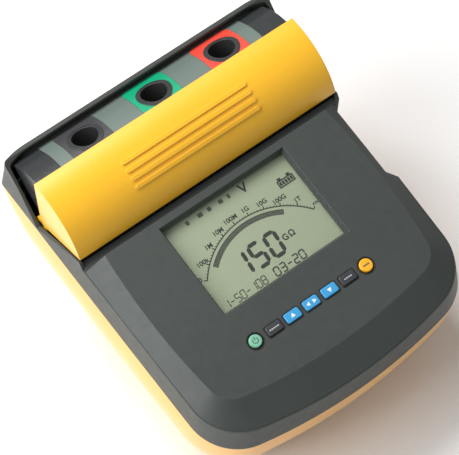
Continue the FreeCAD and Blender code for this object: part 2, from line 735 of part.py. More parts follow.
def main_board_screws():
    return Part.makeCompound([screw(x, y, BOARD_LEVEL + 1.6, 10.0, 1.2, 2.6) for x, y in BOARD_POSTS])


def high_voltage_module():
    """The potted voltage multiplier, a ribbed block that stands on the main board."""
    low = BOARD_LEVEL + 1.8
    body = soft_block(-62, 28, -74, -14, low, low + 30, 4)
    fins = [block(-58, 24, y, y + 3, low + 29, low + 32) for y in (-68, -54, -40, -26)]
    return joined([body] + fins)


def buzzer():
    """A round sounder with a hole in its lid."""
    can = rod(60, -72, BOARD_LEVEL + 1.7, 7.0, 8.0)
    return can.cut(rod(60, -72, BOARD_LEVEL + 6, 1.5, 8.0))


def ribbon_cable():
    """The flat cable from the back of the display board to the main board."""
    top = bench_point(0, -60, BOARD_Z - 1.9)
    foot = Vector(0, -60, BOARD_LEVEL + 1.7)
    corners = [(foot.y, foot.z), (foot.y + 1, foot.z), (top.y + 1, top.z), (top.y, top.z)]
    strip = prism_x(corners, 9.0)
    strip.translate(Vector(42, 0, 0))
    return strip


# ---------------------------------------------------------------- export

COVER_PARTS = {
    "upper_case": upper_case,
    "case_seal": case_seal,
    "case_screws": case_screws,
    "front_panel": front_panel,
    "button_bezels": button_bezels,
    "lcd_window": lcd_window,
    "lcd_cell": lcd_cell,
    "lcd_frame": lcd_frame,
    "backlight": backlight,
    "rubber_keypad": rubber_keypad,
    "display_board": display_board,
    "display_screws": display_screws,
    "hood": hood,
    "hood_pins": hood_pins,
    "hood_washers": hood_washers,
    "terminal_drum": terminal_drum,
    "terminal_plate": terminal_plate,
    "terminal_contacts": terminal_contacts,
    "mains_inlet": mains_inlet,
    "inlet_pins": inlet_pins,
}

BENCH_PARTS = {
    "base_shell": base_shell,
    "rubber_feet": rubber_feet,
    "battery": battery,
    "battery_strap": battery_strap,
    "transformer": transformer,
    "main_board": main_board,
    "main_board_screws": main_board_screws,
    "high_voltage_module": high_voltage_module,
    "buzzer": buzzer,
    "ribbon_cable": ribbon_cable,
}

for name, make in COVER_PARTS.items():
    export(name, on_cover(make()))

for name, make in BENCH_PARTS.items():
    export(name, make())

for index, name in enumerate(BUTTON_NAMES):
    export(name, on_cover(button(index)))

for name, x in zip(("black", "green", "red"), terminal_places()):
    export(f"{name}_surround", on_cover(surround(x)))
    export(f"{name}_terminal", on_cover(terminal(x)))
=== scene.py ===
import json
import math

import bmesh
import bpy
import numpy as np
from mathutils import Matrix, Vector

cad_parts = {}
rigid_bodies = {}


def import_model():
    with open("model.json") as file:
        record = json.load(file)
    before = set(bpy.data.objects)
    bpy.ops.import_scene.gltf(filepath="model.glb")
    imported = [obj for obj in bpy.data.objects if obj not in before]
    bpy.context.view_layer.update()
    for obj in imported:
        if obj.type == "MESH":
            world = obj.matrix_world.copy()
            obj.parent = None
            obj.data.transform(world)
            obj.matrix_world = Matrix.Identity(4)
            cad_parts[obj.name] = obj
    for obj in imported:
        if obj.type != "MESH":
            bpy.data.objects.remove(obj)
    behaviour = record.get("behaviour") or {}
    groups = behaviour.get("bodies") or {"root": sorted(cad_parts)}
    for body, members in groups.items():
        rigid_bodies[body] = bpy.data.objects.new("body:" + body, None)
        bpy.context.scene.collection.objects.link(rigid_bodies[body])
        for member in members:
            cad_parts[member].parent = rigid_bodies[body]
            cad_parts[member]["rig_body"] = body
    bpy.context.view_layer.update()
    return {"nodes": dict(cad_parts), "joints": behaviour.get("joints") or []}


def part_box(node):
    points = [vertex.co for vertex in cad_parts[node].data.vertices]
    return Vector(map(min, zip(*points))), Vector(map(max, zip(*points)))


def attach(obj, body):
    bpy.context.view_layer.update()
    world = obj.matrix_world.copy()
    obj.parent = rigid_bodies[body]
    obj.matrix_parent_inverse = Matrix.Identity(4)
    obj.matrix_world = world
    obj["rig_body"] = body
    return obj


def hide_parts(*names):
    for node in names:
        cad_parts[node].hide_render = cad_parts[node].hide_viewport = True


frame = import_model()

# ------------------------------------------------------------------ the tub
# The lower half of the case is a deep tub of yellow plastic, moulded in one shot.
# It has a fine spark-eroded grain, its flanks bulge a little below the seam, and its inside behind the hood
# is darkened with painted shade.


def node(tree, kind, settings=None, **inputs):
    """One shader node, with its settings made and each input either linked or given its value."""
    made = tree.nodes.new("ShaderNode" + kind)
    for key, value in (settings or {}).items():
        setattr(made, key, value)
    for key, value in inputs.items():
        socket = made.inputs[key.replace("_", " ")]
        if isinstance(value, bpy.types.NodeSocket):
            tree.links.new(value, socket)
        else:
            socket.default_value = value
    return made


def mixed(tree, share, first, second):
    """The colour that is first at share 0 and second at share 1."""
    made = tree.nodes.new("ShaderNodeMix")
    made.data_type = "RGBA"
    for socket, value in ((0, share), (6, first), (7, second)):
        if isinstance(value, bpy.types.NodeSocket):
            tree.links.new(value, made.inputs[socket])
        else:
            made.inputs[socket].default_value = value
    return made.outputs[2]


def ranged(tree, value, low, high, start, stop):
    """Value carried from the range low..high to the range start..stop, and held at its ends."""
    inputs = {"From_Min": low, "From_Max": high, "To_Min": start, "To_Max": stop}
    return node(tree, "MapRange", Value=value, **inputs).outputs["Result"]


def tinted(colour, factor):
    """The colour times factor, with full opacity."""
    return tuple(min(1.0, part * factor) for part in colour) + (1.0,)


def blank_material(name):
    """A new material with its node tree, its surface node and the object's own coordinates."""
    material = bpy.data.materials.new(name)
    material.use_nodes = True
    tree = material.node_tree
    surface = tree.nodes["Principled BSDF"]
    return material, tree, surface, node(tree, "TexCoord").outputs["Object"]


PORE_DEPTH = 0.00012
EDGE_ROUNDING = 0.0006
COAT_ROUGHNESS = 0.35


def plastic(name, colour, gloss=0.42, drift=0.06, grain=0.25, grain_size=1600.0, edge_wear_and_highlight=0.3,
            sheen_coat=0.0):
    """Moulded plastic: soft clouds of colour, edges lighter from rubbing and from a painted highlight, a
    fine grain and uneven gloss.

    gloss is the roughness, drift the share by which the colour wanders, grain the depth of the moulded
    texture, grain_size its cells per metre, wear how far the edges go towards a lighter tone, which is
    partly worn plastic and partly a painted highlight, and sheen_coat the share of a clear skin that a
    polished mould leaves."""
    material, tree, surface, place = blank_material(name)
    clouds = node(tree, "TexNoise", Vector=place, Scale=11.0, Detail=3.0).outputs["Fac"]
    pores = node(tree, "TexNoise", Vector=place, Scale=grain_size, Detail=2.0).outputs["Fac"]
    rubbing = node(tree, "TexNoise", Vector=place, Scale=140.0, Detail=6.0,
                   Roughness=0.65).outputs["Fac"]
    rounded = node(tree, "Bevel", {"samples": 4}, Radius=EDGE_ROUNDING).outputs["Normal"]
    flat = node(tree, "NewGeometry").outputs["Normal"]
    facing = node(tree, "VectorMath", {"operation": "DOT_PRODUCT"})
    tree.links.new(rounded, facing.inputs[0])
    tree.links.new(flat, facing.inputs[1])
    # Where the rounded normal turns away from the flat one, the edges go towards a lighter tone: partly
    # rubbed plastic, partly a painted highlight along the edges.
    edge_wear_and_highlight_share = ranged(tree, facing.outputs["Value"], 0.995, 0.86, 0.0, edge_wear_and_highlight)
    tone = mixed(tree, ranged(tree, clouds, 0.3, 0.7, 0.0, 1.0), tinted(colour, 1 - drift),
                 tinted(colour, 1 + drift))
    specks = ranged(tree, pores, 0.35, 0.65, 0.0, 0.35 * drift / 0.06)
    speckled = mixed(tree, specks, tone, tinted(colour, 0.82))
    # The lighter edge tone: partly worn plastic, partly a painted highlight.
    lighter = tuple(0.75 * part + 0.12 for part in colour) + (1.0,)
    tree.links.new(mixed(tree, edge_wear_and_highlight_share, speckled, lighter), surface.inputs["Base Color"])
    roughness = ranged(tree, rubbing, 0.3, 0.7, gloss - 0.05, gloss + 0.07)
    tree.links.new(roughness, surface.inputs["Roughness"])
    relief = node(tree, "Bump", Height=pores, Normal=rounded, Strength=grain, Distance=PORE_DEPTH)
    tree.links.new(relief.outputs["Normal"], surface.inputs["Normal"])
    surface.inputs["Coat Weight"].default_value = sheen_coat
    surface.inputs["Coat Roughness"].default_value = COAT_ROUGHNESS
    return material


WELD = 2e-6


def moulding(name, material, slot, *nodes, crease=30):
    """The surface of one or more CAD nodes as one clean skin: welded, and shaded smoothly except
    where two faces meet at more than crease degrees."""
    skin = bmesh.new()
    for each in nodes:
        skin.from_mesh(frame["nodes"][each].data)
    bmesh.ops.remove_doubles(skin, verts=skin.verts, dist=WELD)
    mesh = bpy.data.meshes.new(name)
    skin.to_mesh(mesh)
    skin.free()
    for layer in [layer.name for layer in mesh.attributes if layer.name == "custom_normal"]:
        mesh.attributes.remove(mesh.attributes[layer])
    mesh.shade_smooth()
    mesh.set_sharp_from_angle(angle=math.radians(crease))
    mesh.materials.clear()
    mesh.materials.append(material)
    piece = bpy.data.objects.new(name, mesh)
    bpy.context.scene.collection.objects.link(piece)
    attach(piece, frame["nodes"][nodes[0]]["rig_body"])
    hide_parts(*nodes)
    return piece


def painted_inner_shade(material, middle, shade_colour):
    """Painted shade: a dark colour on the faces behind the hood that look in towards the middle of the tub,
    where shade falls inside the case.
    """
    tree = material.node_tree
    surface = tree.nodes["Principled BSDF"]
    place = node(tree, "TexCoord").outputs["Object"]
    outwards = node(tree, "VectorMath", {"operation": "SUBTRACT"})
    tree.links.new(place, outwards.inputs[0])
    outwards.inputs[1].default_value = middle
    facing = node(tree, "VectorMath", {"operation": "DOT_PRODUCT"})
    tree.links.new(outwards.outputs["Vector"], facing.inputs[0])
    tree.links.new(node(tree, "NewGeometry").outputs["Normal"], facing.inputs[1])
    inward = ranged(tree, facing.outputs["Value"], -0.002, 0.0, 1.0, 0.0)
    rearward = ranged(tree, node(tree, "SeparateXYZ", Vector=place).outputs["Y"], 0.050, 0.052, 0.0, 1.0)
    share = node(tree, "Math", {"operation": "MULTIPLY"})
    tree.links.new(inward, share.inputs[0])
    tree.links.new(rearward, share.inputs[1])
    own = surface.inputs["Base Color"].links[0].from_socket
    # Mix the painted shade colour into the inward faces.
    tree.links.new(mixed(tree, share.outputs["Value"], own, shade_colour), surface.inputs["Base Color"])


TUB_YELLOW = (0.90, 0.44, 0.05)
TUB_MIDDLE = (0.0, 0.0, 0.10)
# The dark colour of the painted shade inside the tub.
INNER_SHADE_COLOUR = (0.012, 0.012, 0.013, 1.0)
tub_plastic = plastic("tub_plastic", TUB_YELLOW, gloss=0.40, drift=0.05, grain=0.30, sheen_coat=1.0)
painted_inner_shade(tub_plastic, TUB_MIDDLE, INNER_SHADE_COLOUR)
moulding("tub", tub_plastic, "tub_yellow", "base_shell")

# --------------------------------------------- feet, seal and case screws
# Four black rubber feet are pressed into the floor of the tub, and four steel screws
# come up from below into the upper case. A soft cord of rubber lies in the seam.

RUBBER = (0.018, 0.018, 0.018)
SEAL_RUBBER = (0.03, 0.03, 0.03)
foot_rubber = plastic("foot_rubber", RUBBER, gloss=0.75, drift=0.15, grain=0.55, grain_size=900.0,
                      edge_wear_and_highlight=0.15)
seal_rubber = plastic("seam_rubber", SEAL_RUBBER, gloss=0.62, drift=0.12, grain=0.35, edge_wear_and_highlight=0.1)
moulding("feet", foot_rubber, "rubber", "rubber_feet")
moulding("seam_seal", seal_rubber, "seal_rubber", "case_seal")


def metal(name, colour, gloss=0.28, brushed=600.0, tarnish=0.25):
    """Plain metal: fine brush lines along X in its relief and gloss, and dull handled patches."""
    material, tree, surface, place = blank_material(name)
    stretched = node(tree, "Mapping", Vector=place, Scale=(0.06, 1.0, 1.0)).outputs["Vector"]
    lines = node(tree, "TexNoise", Vector=stretched, Scale=brushed * 4, Detail=3.0).outputs["Fac"]
    patches = node(tree, "TexNoise", Vector=place, Scale=220.0, Detail=4.0).outputs["Fac"]
    dull = ranged(tree, patches, 0.45, 0.7, 0.0, tarnish)
    tone = mixed(tree, dull, tinted(colour, 1.0), tinted(colour, 0.55))
    tree.links.new(tone, surface.inputs["Base Color"])
    roughness = ranged(tree, lines, 0.3, 0.7, gloss - 0.08, gloss + 0.12)
    tree.links.new(roughness, surface.inputs["Roughness"])
    relief = node(tree, "Bump", Height=lines, Strength=0.15, Distance=0.00005)
    tree.links.new(relief.outputs["Normal"], surface.inputs["Normal"])
    surface.inputs["Metallic"].default_value = 1.0
    return material


STEEL = (0.52, 0.52, 0.54)
screw_steel = metal("plated_steel", STEEL)
moulding("case_fixings", screw_steel, "screw_steel", "case_screws")

# --------------------------------------------------------- the upper case
# The dark grey skirt is the upper half of the case. It carries the cover, the drum and
# the hood, and its lower edge meets the tub at the seam.

SKIRT_GREY = (0.052, 0.059, 0.053)
skirt_plastic = plastic("skirt_plastic", SKIRT_GREY, gloss=0.46, drift=0.07, grain=0.35)
moulding("skirt", skirt_plastic, "skirt_grey", "upper_case", crease=20)

# -------------------------------------------------------------- the cover
# One sloping dark grey moulding closes the top. Its flat falls away at both sides and
# at the front in broad bevels, and it frames the display and the row of keys.

COVER_GREY = (0.044, 0.052, 0.048)
cover_plastic = plastic("cover_plastic", COVER_GREY, gloss=0.44, drift=0.06, grain=0.35)
moulding("cover", cover_plastic, "cover_grey", "front_panel", crease=14)

# ------------------------------------------------------- the display stack
# A clear pane lies in the cover. Behind it a steel frame holds the liquid-crystal cell,
# and a light guide lies under the cell.

press_axis = Vector(next(j for j in frame["joints"] if j["name"] == "power_press")["axis"])
CAMBER = math.atan2(press_axis.y, -press_axis.z)
UP_SLOPE = Vector((0.0, math.cos(CAMBER), math.sin(CAMBER)))
SQUARE = Vector((0.0, -math.sin(CAMBER), math.cos(CAMBER)))
pane_low, pane_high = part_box("lcd_window")
PANE = 0.002
glass_centre = (pane_low + pane_high) / 2 + SQUARE * (PANE / 2)
to_bench = Matrix.Translation(glass_centre) @ Matrix.Rotation(CAMBER, 4, "X")
MM = 0.001


def cover_box(name):
    """The lowest and highest corner of a CAD node along the cover's own axes, in mm from the
    middle of the glass."""
    corners = np.array([v.co for v in frame["nodes"][name].data.vertices])
    back = np.array(to_bench.inverted())
    own = (corners @ back[:3, :3].T + back[:3, 3]) / MM
    return own.min(0), own.max(0)


def clear_pane(name):
    """A thin acrylic pane: nearly open to sight, glossy, with faint wiping marks."""
    material, tree, surface, place = blank_material(name)
    wiped = node(tree, "Mapping", Vector=place, Rotation=(0, 0, 0.5),
                 Scale=(1.0, 0.12, 1.0)).outputs["Vector"]
    marks = node(tree, "TexNoise", Vector=wiped, Scale=300.0, Detail=6.0).outputs["Fac"]
    tree.links.new(ranged(tree, marks, 0.4, 0.7, 0.04, 0.12), surface.inputs["Roughness"])
    surface.inputs["Base Color"].default_value = (0.30, 0.34, 0.30, 1)
    surface.inputs["Alpha"].default_value = 0.03
    return material


def cell_glass(name, colour):
    """The reflective back of a liquid-crystal cell: grey-green, very finely mottled, and darkened a little
    towards one side by painted shade, standing for less light from the light guide."""
    material, tree, surface, place = blank_material(name)
    across = node(tree, "SeparateXYZ", Vector=place).outputs["X"]
    # Painted shade: the colour goes darker towards +X.
    painted_shade_fade = ranged(tree, across, -0.06, 0.06, 0.0, 1.0)
    mottle = node(tree, "TexNoise", Vector=place, Scale=700.0, Detail=3.0).outputs["Fac"]
    tone = mixed(tree, painted_shade_fade, tinted(colour, 1.06), tinted(colour, 0.94))
    flecks = ranged(tree, mottle, 0.3, 0.7, 0.0, 0.25)
    tree.links.new(mixed(tree, flecks, tone, tinted(colour, 0.86)), surface.inputs["Base Color"])
    tree.links.new(ranged(tree, mottle, 0.3, 0.7, 0.38, 0.5), surface.inputs["Roughness"])
    return material


CELL_GREEN = (0.30, 0.35, 0.235)
moulding("display_pane", clear_pane("pane_acrylic"), "window", "lcd_window")
moulding("display_cell", cell_glass("cell_back", CELL_GREEN), "lcd", "lcd_cell")
frame_metal = metal("frame_plating", (0.30, 0.31, 0.31), gloss=0.35)
moulding("display_frame", frame_metal, "frame_steel", "lcd_frame")
guide_acrylic = plastic("guide_acrylic", (0.75, 0.78, 0.74), gloss=0.2, drift=0.03, grain=0.05)
moulding("light_guide", guide_acrylic, "light_guide", "backlight")

# ------------------------------------------------------ what the cell shows
# The lit segments are dark electrode shapes in the cell: a curved scale with its bar,
# a large reading and smaller figures. Each is a thin plate on the face of the cell.

CELL_FACE = cover_box("lcd_cell")[1][2]
PRINT = (CELL_FACE + 0.02, CELL_FACE + 0.10)


def plates(name, outlines, low, high, body, slot, material):
    """Thin flat plates on the cover's own axes, in mm. Each outline is a closed run of points; its
    copy at low is the underside, its copy at high the top, and a wall of quads joins the two."""
    verts, faces, start = [], [], 0
    for outline in outlines:
        points = np.asarray(outline, float)
        turn = np.roll(points, -1, axis=0)
        if np.sum(points[:, 0] * turn[:, 1] - points[:, 1] * turn[:, 0]) < 0:
            points = points[::-1]
        count = len(points)
        ring = np.arange(count)
        verts.append(np.column_stack([points, np.full(count, low)]))
        verts.append(np.column_stack([points, np.full(count, high)]))
        faces.append((start + ring[::-1]).tolist())
        faces.append((start + count + ring).tolist())
        following = np.roll(ring, -1)
        walls = np.column_stack([ring, following, following + count, ring + count]) + start
        faces.extend(walls.tolist())
        start += 2 * count
    flat = np.concatenate(verts) * MM
    place = np.array(to_bench)
    mesh = bpy.data.meshes.new(name)
    mesh.from_pydata((flat @ place[:3, :3].T + place[:3, 3]).tolist(), [], faces)
    mesh.materials.append(material)
    piece = bpy.data.objects.new(name, mesh)
    bpy.context.scene.collection.objects.link(piece)
    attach(piece, body)
    return piece


def ink(name, colour, gloss=0.5):
    """A flat even film, with a slight unevenness of tone and gloss where it was laid."""
    material, tree, surface, place = blank_material(name)
    laid = node(tree, "TexNoise", Vector=place, Scale=1500.0, Detail=3.0).outputs["Fac"]
    tone = mixed(tree, ranged(tree, laid, 0.3, 0.7, 0.0, 1.0), tinted(colour, 0.92),
                 tinted(colour, 1.08))
    tree.links.new(tone, surface.inputs["Base Color"])
    roughness = ranged(tree, laid, 0.3, 0.7, gloss - 0.06, gloss + 0.06)
    tree.links.new(roughness, surface.inputs["Roughness"])
    return material


segment_ink = ink("segment_dark", (0.012, 0.015, 0.011), gloss=0.5)
faint_ink = ink("segment_faint", (0.05, 0.06, 0.04), gloss=0.5)

SCALE_CENTRE = np.array([0.0, -46.5])
SCALE_R = 59.8
SCALE_STEP = 11.5
SCALE_MARKS = ["0", "100k", "1M", "10M", "100M", "1G", "10G", "100G", "1T", "∞"]
SCALE_END = SCALE_STEP * (len(SCALE_MARKS) - 1) / 2


def on_scale(angle, radius):
    """The point at that angle from straight up the slope, in degrees, and that radius from the
    scale's centre."""
    turn = np.radians(angle)
    away = np.stack([np.sin(turn), np.cos(turn)], axis=-1)
    return SCALE_CENTRE + away * np.asarray(radius)[..., None]


def arc_band(start, stop, inner, outer, count):
    """A band of the scale: its outer arc one way and its inner arc back."""
    angles = np.linspace(start, stop, count)
    there = on_scale(angles, outer + 0 * angles)
    back = on_scale(angles[::-1], inner + 0 * angles)
    return np.concatenate([there, back])


def strokes(angles, inner, outer, width):
    """Straight radial strokes of that width in mm, one for each angle, as quads."""
    angles = np.asarray(angles, float)
    along = on_scale(angles, 1.0 + 0 * angles) - SCALE_CENTRE
    across = np.stack([along[:, 1], -along[:, 0]], axis=-1) * width / 2
    low, high = SCALE_CENTRE + along * inner, SCALE_CENTRE + along * outer
    return list(np.stack([low - across, low + across, high + across, high - across], axis=1))


major = np.linspace(-SCALE_END, SCALE_END, len(SCALE_MARKS))
minor = np.linspace(-SCALE_END, SCALE_END, 5 * (len(SCALE_MARKS) - 1) + 1)
scale_lines = [arc_band(-SCALE_END, SCALE_END, SCALE_R - 0.4, SCALE_R + 0.4, 96)]
scale_lines += strokes(major, SCALE_R + 0.3, SCALE_R + 2.4, 0.8)
scale_lines += strokes(minor, SCALE_R + 0.3, SCALE_R + 1.2, 0.45)
plates("scale_lines", scale_lines, *PRINT, "instrument", "lcd", segment_ink)

BAR_START, BAR_STOP, BAR_CELLS = -40.5, 30.3, 88
BAR_INNER, BAR_OUTER = 53.4, 56.8
bar_angles = np.linspace(BAR_START, BAR_STOP, BAR_CELLS)
cell_width = math.radians(bar_angles[1] - bar_angles[0]) * BAR_INNER
bar = strokes(bar_angles, BAR_INNER, BAR_OUTER, cell_width * 0.78)
bar.append(arc_band(BAR_START - 0.4, BAR_STOP + 0.4, BAR_OUTER - 0.05, BAR_OUTER + 0.45, 96))
plates("scale_bar", bar, *PRINT, "instrument", "lcd", segment_ink)

SEVEN = {"0": "abcdef", "1": "bc", "2": "abged", "3": "abgcd", "4": "fgbc", "5": "afgcd",
         "6": "afgedc", "7": "abc", "8": "abcdefg", "9": "abcdfg", "-": "g"}
STROKE_ENDS = {"a": (-1, 1, 1, 1), "b": (1, 1, 1, 0), "c": (1, 0, 1, -1), "d": (-1, -1, 1, -1),
               "e": (-1, 0, -1, -1), "f": (-1, 1, -1, 0), "g": (-1, 0, 1, 0)}
SLANT = math.tan(math.radians(4.0))


def figures(text, left, middle, pitch, width, height, thick, gap):
    """Seven-stroke figures: each stroke is a long hexagon between two corners of its figure, short
    of them by the gap, and every point leans over by the slant times its height."""
    outlines = []
    for place, figure in enumerate(text):
        centre = np.array([left + pitch * place, middle])
        for stroke in SEVEN.get(figure, ""):
            x0, y0, x1, y1 = STROKE_ENDS[stroke]
            size = np.array([width / 2, height / 2])
            start, stop = np.array([x0, y0]) * size, np.array([x1, y1]) * size
            along = (stop - start) / np.linalg.norm(stop - start)
            across = np.array([-along[1], along[0]]) * thick / 2
            tip, shoulder = along * gap, along * (gap + thick / 2)
            shape = np.array([start + tip, start + shoulder - across, stop - shoulder - across,
                              stop - tip, stop - shoulder + across, start + shoulder + across])
            shape[:, 0] += SLANT * shape[:, 1]
            outlines.append(shape + centre)
    return outlines


readings = {
    "reading": (segment_ink, figures("150", -19.6, -14.4, 13.8, 8.6, 17.4, 2.9, 0.15)),
    "small_reading": (segment_ink, figures("03-20", -2.6, -31.6, 5.6, 3.9, 6.4, 1.0, 0.05)),
    "lower_reading": (faint_ink, figures("1-50-108", -46.0, -31.6, 4.6, 3.3, 6.2, 0.8, 0.05)),
}
for piece_name, (colour_ink, outlines) in readings.items():
    plates(piece_name, outlines, *PRINT, "instrument", "lcd", colour_ink)


SIZE_FOR_CAPITALS = 1.38
BOLDNESS = 0.035


def lettering(name, marks, low, high, body, slot, material):
    """Flat letters on the cover's own axes, in mm: each mark is (text, x, y, height), centred on
    its point."""
    whole = bmesh.new()
    for text, x, y, height in marks:
        curve = bpy.data.curves.new(name, "FONT")
        curve.body = text
        curve.size = height * SIZE_FOR_CAPITALS
        curve.offset = height * BOLDNESS
        curve.extrude = (high - low) / 2
        curve.resolution_u = 4
        curve.align_x = "CENTER"
        curve.align_y = "CENTER"
        carrier = bpy.data.objects.new(name, curve)
        mesh = bpy.data.meshes.new_from_object(carrier)
        place = Matrix.Diagonal((MM, MM, MM, 1)) @ Matrix.Translation((x, y, (low + high) / 2))
        mesh.transform(to_bench @ place)
        whole.from_mesh(mesh)
        bpy.data.objects.remove(carrier)
        bpy.data.curves.remove(curve)
        bpy.data.meshes.remove(mesh)
    bmesh.ops.remove_doubles(whole, verts=whole.verts, dist=1e-7)
    bmesh.ops.recalc_face_normals(whole, faces=whole.faces)
    mesh = bpy.data.meshes.new(name)
    whole.to_mesh(mesh)
    whole.free()
    mesh.materials.clear()
    mesh.materials.append(material)
    piece = bpy.data.objects.new(name, mesh)
    bpy.context.scene.collection.objects.link(piece)
    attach(piece, body)
    return piece


LABEL_R = SCALE_R + 4.9
LABEL_HEIGHT = 3.6
labels = [(text, *on_scale(np.array(angle), LABEL_R), LABEL_HEIGHT)
          for text, angle in zip(SCALE_MARKS, major)]
units = [("G", 17.6, -14.8, 4.7), ("Ω", 23.2, -14.8, 4.7), ("V", 15.2, 31.4, 7.4)]
lettering("scale_labels", labels, *PRINT, "instrument", "lcd", segment_ink)
lettering("unit_letters", units, *PRINT, "instrument", "lcd", segment_ink)


def rectangle(x, y, width, height):
    """Four corners of a rectangle about its middle."""
    return np.array([[x - width / 2, y - height / 2], [x + width / 2, y - height / 2],
                     [x + width / 2, y + height / 2], [x - width / 2, y + height / 2]])


CHARGE_X, CHARGE_Y = 43.8, 19.6
charge_sign = [rectangle(CHARGE_X, CHARGE_Y + rise, 13.6, 1.0) for rise in (-3.2, 1.6)]
charge_sign += [rectangle(CHARGE_X + side * 6.3, CHARGE_Y - 0.8, 1.0, 5.6) for side in (-1, 1)]
charge_sign += [rectangle(CHARGE_X + side * 3.9, CHARGE_Y + 3.0, 3.0, 1.8) for side in (-1, 1)]
charge_sign += [rectangle(CHARGE_X + step * 2.3, CHARGE_Y - 0.8, 1.8, 3.0) for step in range(-2, 3)]
plates("charge_sign", charge_sign, *PRINT, "instrument", "lcd", segment_ink)
STATUS_MARKS = [(-33, 2.6), (-22, 4.0), (-14, 3.0), (-4, 3.4), (3, 2.0)]
status = [rectangle(x, 32.6, width, 3.2) for x, width in STATUS_MARKS]
plates("status_signs", status, *PRINT, "instrument", "lcd", faint_ink)

# ------------------------------------------------------------------- keys
# Seven caps stand through black collars in the cover. Round ones switch the power and
# start a test; between them are two grey and three blue caps. Legends are printed on top.

collar_plastic = plastic("collar_plastic", (0.012, 0.012, 0.013), gloss=0.38, drift=0.1, grain=0.2)
moulding("collars", collar_plastic, "bezel_black", "button_bezels")
MINT = (0.19, 0.47, 0.32)
KEY_GREY = (0.040, 0.042, 0.046)
KEY_BLUE = (0.045, 0.32, 0.62)
KEY_ORANGE = (0.86, 0.42, 0.02)
caps = {
    "power_button": ("power_cap", MINT, "key_mint"),
    "function_button": ("function_cap", KEY_GREY, "key_grey"),
    "up_button": ("up_cap", KEY_BLUE, "key_blue"),
    "left_right_button": ("left_right_cap", KEY_BLUE, "key_blue"),
    "down_button": ("down_cap", KEY_BLUE, "key_blue"),
    "store_button": ("store_cap", KEY_GREY, "key_grey"),
    "test_button": ("test_cap", KEY_ORANGE, "key_orange"),
}
cap_materials = {slot: plastic(slot + "_plastic", colour, gloss=0.36, drift=0.05, grain=0.12, edge_wear_and_highlight=0.35)
                 for _, colour, slot in caps.values()}
for cap, (piece_name, _, slot_name) in caps.items():
    moulding(piece_name, cap_materials[slot_name], slot_name, cap)

white_ink = ink("legend_white", (0.75, 0.78, 0.80))
grey_ink = ink("legend_grey", (0.42, 0.44, 0.46))
dark_ink = ink("legend_dark", (0.05, 0.06, 0.06))


def legend(button, name, outlines, material):
    """Printed shapes on top of a cap. Outlines are in mm about the middle of the cap."""
    low, high = cover_box(button)
    centre = (low[:2] + high[:2]) / 2
    slot_name = caps[button][2]
    return plates(name, [outline + centre for outline in outlines], high[2] - 0.03, high[2] + 0.05, button,
                  slot_name, material)


def arrow(x, y, half, direction):
    """A triangle that points the given way, in degrees from up the slope."""
    corners = np.radians(direction + np.array([0, 120, 240]))
    return np.stack([x - half * np.sin(corners), y + half * np.cos(corners)], axis=-1)


def ring_band(radius, width, start, stop, count=40):
    """Part of a ring, from start to stop in degrees clockwise from up the slope."""
    turn = np.radians(np.linspace(start, stop, count))
    unit = np.stack([np.sin(turn), np.cos(turn)], axis=-1)
    return np.concatenate([unit * (radius + width / 2), unit[::-1] * (radius - width / 2)])


FUNCTION_DASHES = (-3.4, -1.7, 0, 1.7, 3.4)
STORE_DASHES = (-2.55, -0.85, 0.85, 2.55)
TEST_DASHES = (-1.9, -0.65, 0.65, 1.9)
legends = {
    "power": (dark_ink, [ring_band(2.0, 0.55, 35, 325), rectangle(0, 1.7, 0.55, 2.4)]),
    "function": (grey_ink, [rectangle(x, 0, 1.3, 0.9) for x in FUNCTION_DASHES]),
    "up": (white_ink, [arrow(0, -0.2, 2.1, 0)]),
    "left_right": (white_ink, [arrow(-2.4, 0, 1.9, 90), arrow(2.4, 0, 1.9, -90)]),
    "down": (white_ink, [arrow(0, 0.2, 2.1, 180)]),
    "store": (grey_ink, [rectangle(x, 0, 1.3, 0.9) for x in STORE_DASHES]),
    "test": (dark_ink, [rectangle(x, 0, 1.0, 1.2) for x in TEST_DASHES]),
}
for key_name, (print_ink, outlines) in legends.items():
    legend(key_name + "_button", key_name + "_sign", outlines, print_ink)

# ------------------------------------------------------------------- hood
# The rolling hood is a half barrel of yellow plastic with closed ends. It turns on two
# pins, and four raised ribs across it give the fingers a grip.

HOOD_YELLOW = (0.95, 0.50, 0.015)
hood_plastic = plastic("hood_plastic", HOOD_YELLOW, gloss=0.33, drift=0.04, grain=0.18, sheen_coat=0.8)
moulding("rolling_hood", hood_plastic, "hood_yellow", "hood")
moulding("pins", metal("pin_plating", (0.55, 0.55, 0.56)), "pin_steel", "hood_pins")
moulding("washers", metal("washer_plating", (0.62, 0.60, 0.56)), "pin_steel", "hood_washers")

# ------------------------------------------------- drum and test terminals
# A dark drum under the hood carries the terminal plate. Three coloured surrounds are
# let into it, and in each stands a deep grey socket with a brass jack at its foot.

drum_plastic = plastic("drum_plastic", (0.034, 0.037, 0.038), gloss=0.26, drift=0.07, grain=0.2)
plate_plastic = plastic("plate_plastic", (0.130, 0.170, 0.148), gloss=0.42, drift=0.05, grain=0.3)
socket_plastic = plastic("socket_plastic", (0.036, 0.037, 0.038), gloss=0.26, drift=0.08, grain=0.15)
moulding("drum", drum_plastic, "drum_grey", "terminal_drum")
moulding("plate", plate_plastic, "plate_grey", "terminal_plate")
ring_colours = {"black": (0.055, 0.055, 0.058), "green": (0.006, 0.34, 0.17), "red": (0.72, 0.065, 0.04)}
for colour_name, colour in ring_colours.items():
    ring_plastic = plastic(colour_name + "_ring_plastic", colour, gloss=0.36, drift=0.06, grain=0.2)
    moulding(colour_name + "_ring", ring_plastic, "ring_" + colour_name, colour_name + "_surround")
    moulding(colour_name + "_socket", socket_plastic, "socket_grey", colour_name + "_terminal")
moulding("jacks", metal("jack_brass", (0.72, 0.50, 0.20), gloss=0.25), "brass", "terminal_contacts")

# ------------------------------------------------------------- mains inlet
# The inlet is a black moulding let into the front of the drum, with three flat
# nickel-plated pins.

